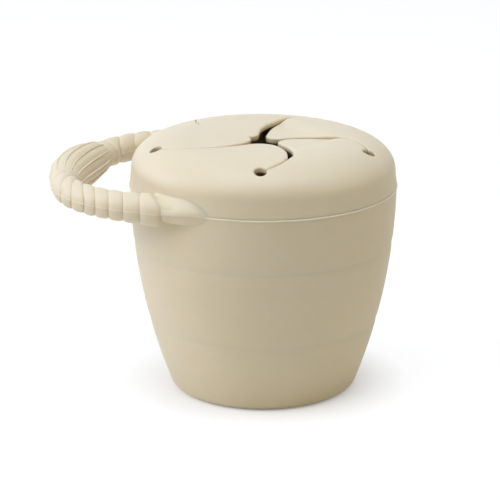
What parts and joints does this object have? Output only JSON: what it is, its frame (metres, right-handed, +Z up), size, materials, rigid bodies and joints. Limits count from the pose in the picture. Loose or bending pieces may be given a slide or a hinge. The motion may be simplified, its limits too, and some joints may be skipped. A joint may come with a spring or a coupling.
{
  "type": "toddler snack container",
  "caption": "Soft collapsible snack cup with a lift-off lid of five slit flaps in a pinwheel and a beaded carry loop with a fluted grip.",
  "frame": {"origin": "centre of the flat underside, on the cup's axis", "axes": "+Z up along the cup's axis; the carry loop points along -X; +Y is to the left of someone looking along +X"},
  "size_m": [0.116, 0.0938, 0.0848],
  "materials": {
    "cup": "matt silicone, cream",
    "lid": "matt silicone, cream"
  },
  "bodies": {
    "base": {"cup_base": "cup"},
    "rim": {"cup_middle": "cup", "cup_rim": "cup", "handle_front_arm": "cup", "handle_rear_arm": "cup", "handle_grip": "cup"},
    "lid": {"lid_shell": "lid"},
    "flap_1": {"lid_flap_1": "lid"},
    "flap_2": {"lid_flap_2": "lid"},
    "flap_3": {"lid_flap_3": "lid"},
    "flap_4": {"lid_flap_4": "lid"},
    "flap_5": {"lid_flap_5": "lid"}
  },
  "joints": [
    {"name": "collapse", "type": "slide", "parent": "base", "child": "rim", "axis": [0, 0, -1], "range_m": [0, 0.05], "deforming": ["cup_middle"]},
    {"name": "lid_lift", "type": "slide", "parent": "rim", "child": "lid", "axis": [0, 0, 1], "range_m": [0, 0.045]},
    {"name": "flap_1_bend", "type": "hinge", "parent": "lid", "child": "flap_1", "pos_m": [0.01513, 0.01729, 0.0838], "axis": [0.7526, -0.6585, 0], "range_deg": [-30, 65], "stiffness_Nm_per_rad": 0.02},
    {"name": "flap_2_bend", "type": "hinge", "parent": "lid", "child": "flap_2", "pos_m": [-0.01177, 0.01973, 0.0838], "axis": [0.8588, 0.5123, 0], "range_deg": [-30, 65], "stiffness_Nm_per_rad": 0.02},
    {"name": "flap_3_bend", "type": "hinge", "parent": "lid", "child": "flap_3", "pos_m": [-0.0224, -0.0051, 0.0838], "axis": [-0.2219, 0.9751, 0], "range_deg": [-30, 65], "stiffness_Nm_per_rad": 0.02},
    {"name": "flap_4_bend", "type": "hinge", "parent": "lid", "child": "flap_4", "pos_m": [-0.00208, -0.02288, 0.0838], "axis": [-0.9959, 0.0903, 0], "range_deg": [-30, 65], "stiffness_Nm_per_rad": 0.02},
    {"name": "flap_5_bend", "type": "hinge", "parent": "lid", "child": "flap_5", "pos_m": [0.02112, -0.00904, 0.0838], "axis": [-0.3937, -0.9193, 0], "range_deg": [-30, 65], "stiffness_Nm_per_rad": 0.02}
  ]
}
